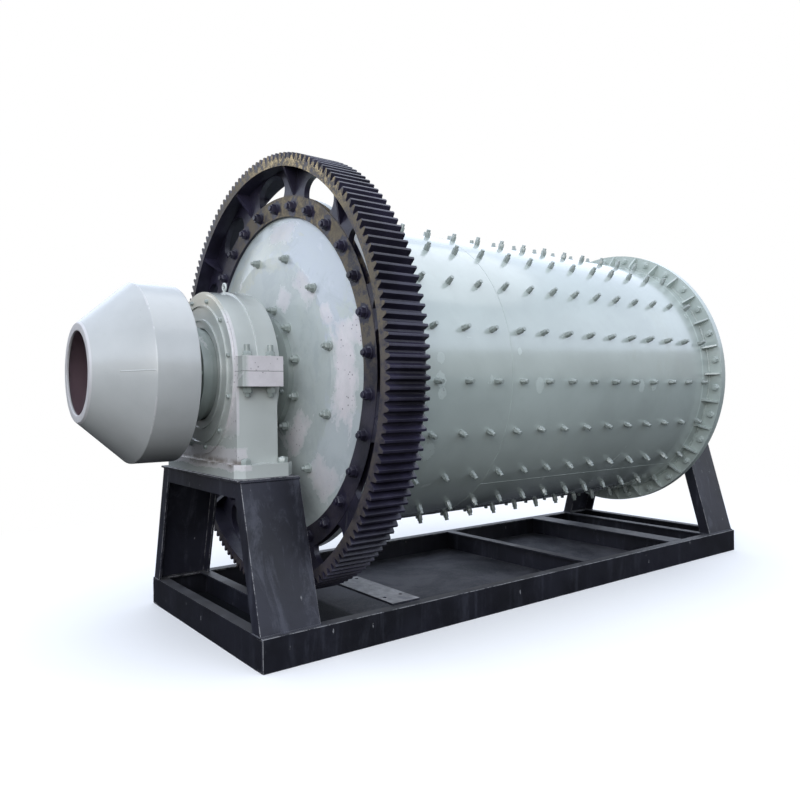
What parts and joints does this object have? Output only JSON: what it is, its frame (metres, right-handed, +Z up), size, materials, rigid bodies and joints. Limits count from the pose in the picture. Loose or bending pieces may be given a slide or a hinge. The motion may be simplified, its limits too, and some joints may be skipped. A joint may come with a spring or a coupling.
{
  "type": "ball mill",
  "caption": "Horizontal grinding drum on two trunnion bearings, with a girth gear, a conical feeder and a channel base frame.",
  "frame": {"origin": "on the floor under the middle of the overall length, in the plane of the drum axis", "axes": "+X along the drum from the feed end to the discharge end, +Y across the machine, +Z up"},
  "size_m": [4.951, 2.43, 2.6],
  "materials": {
    "drum_paint": "satin",
    "housing_paint": "satin",
    "gear_paint": "satin",
    "frame_paint": "satin",
    "bay_sheet": "matte",
    "journal_steel": "satin",
    "race_steel": "satin",
    "tube_lining": "matte"
  },
  "bodies": {
    "frame": {"side_beam_right": "frame_paint", "side_beam_left": "frame_paint", "end_beam_front": "frame_paint", "end_beam_rear": "frame_paint", "cross_beams": "frame_paint", "wide_beam": "frame_paint", "mounting_plate": "frame_paint", "floor_sheets": "bay_sheet", "front_leg_right": "frame_paint", "front_leg_left": "frame_paint", "rear_leg_right": "frame_paint", "rear_leg_left": "frame_paint", "front_fascias": "frame_paint", "rear_fascias": "frame_paint", "front_stand_top": "frame_paint", "rear_stand_top": "frame_paint", "front_bearing_base": "housing_paint", "rear_bearing_base": "housing_paint", "front_bearing_cap": "housing_paint", "rear_bearing_cap": "housing_paint", "front_bearing_covers": "housing_paint", "rear_bearing_covers": "housing_paint", "front_bearing_race": "race_steel", "rear_bearing_race": "race_steel", "front_lifting_eye": "housing_paint", "rear_lifting_eye": "housing_paint"},
    "drum": {"shell": "drum_paint", "front_shell_flange": "drum_paint", "rear_shell_flange": "drum_paint", "rear_gussets": "drum_paint", "front_gussets": "drum_paint", "rear_head": "drum_paint", "front_head": "drum_paint", "rear_trunnion": "journal_steel", "front_trunnion": "journal_steel", "feed_back_plate": "drum_paint", "feed_band": "drum_paint", "feed_cone": "drum_paint", "feed_mouth_ring": "drum_paint", "feed_tube": "tube_lining", "feed_spacers": "drum_paint", "spout_ring": "drum_paint", "discharge_spout": "drum_paint", "gear_rim": "gear_paint", "gear_spider": "gear_paint"}
  },
  "joints": [
    {"name": "drum_spin", "type": "hinge", "parent": "frame", "child": "drum", "pos_m": [0.155, 0, 1.385], "axis": [1, 0, 0], "continuous": true}
  ]
}
